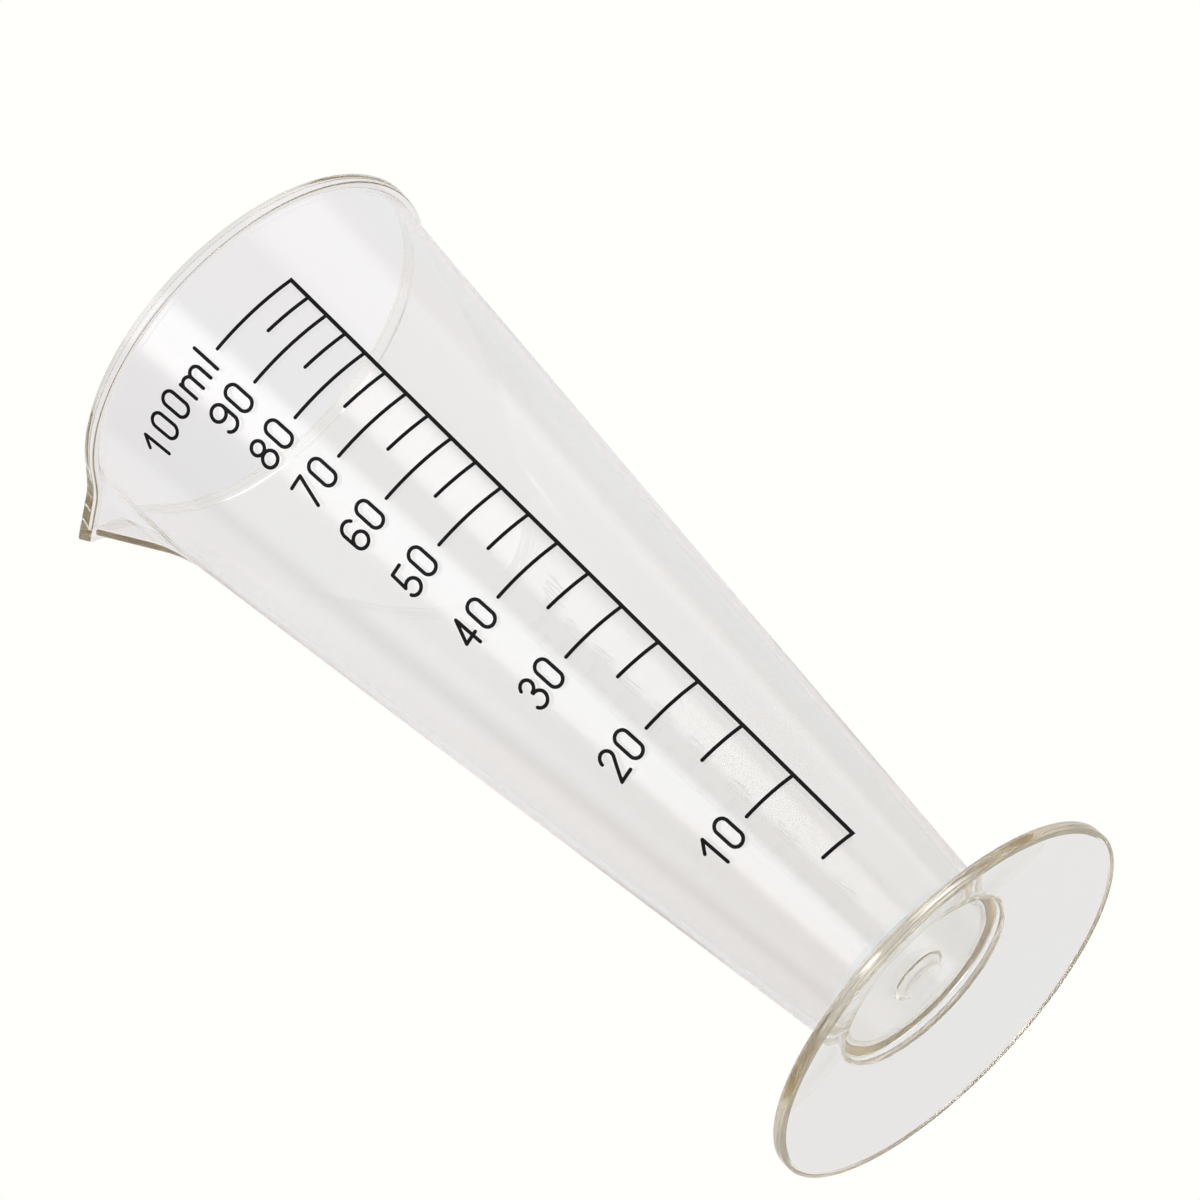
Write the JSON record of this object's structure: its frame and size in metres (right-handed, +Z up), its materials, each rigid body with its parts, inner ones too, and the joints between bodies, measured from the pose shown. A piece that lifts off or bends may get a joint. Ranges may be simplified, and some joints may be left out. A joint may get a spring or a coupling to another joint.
{
  "type": "conical measuring cup",
  "caption": "Clear plastic conical measure with a V-shaped pouring lip, a dished round foot and a printed black volume scale for liquids.",
  "frame": {"origin": "centre of the ring under the foot, in the plane of the table", "axes": "+Z up along the cup's axis, through the mouth; the pouring lip points along -X and the printed scale faces -Y"},
  "size_m": [0.057, 0.0518, 0.1213],
  "materials": {
    "clear_plastic": "clear styrene plastic, injection moulded, polished",
    "print_black": "black screen-printing ink, satin gloss"
  },
  "bodies": {
    "root": {"cup_body": "clear_plastic", "scale_line": "print_black", "marks_long": "print_black", "marks_short": "print_black", "numeral_10": "print_black", "numeral_20": "print_black", "numeral_30": "print_black", "numeral_40": "print_black", "numeral_50": "print_black", "numeral_60": "print_black", "numeral_70": "print_black", "numeral_80": "print_black", "numeral_90": "print_black", "numeral_100": "print_black", "unit_ml": "print_black"}
  },
  "joints": []
}
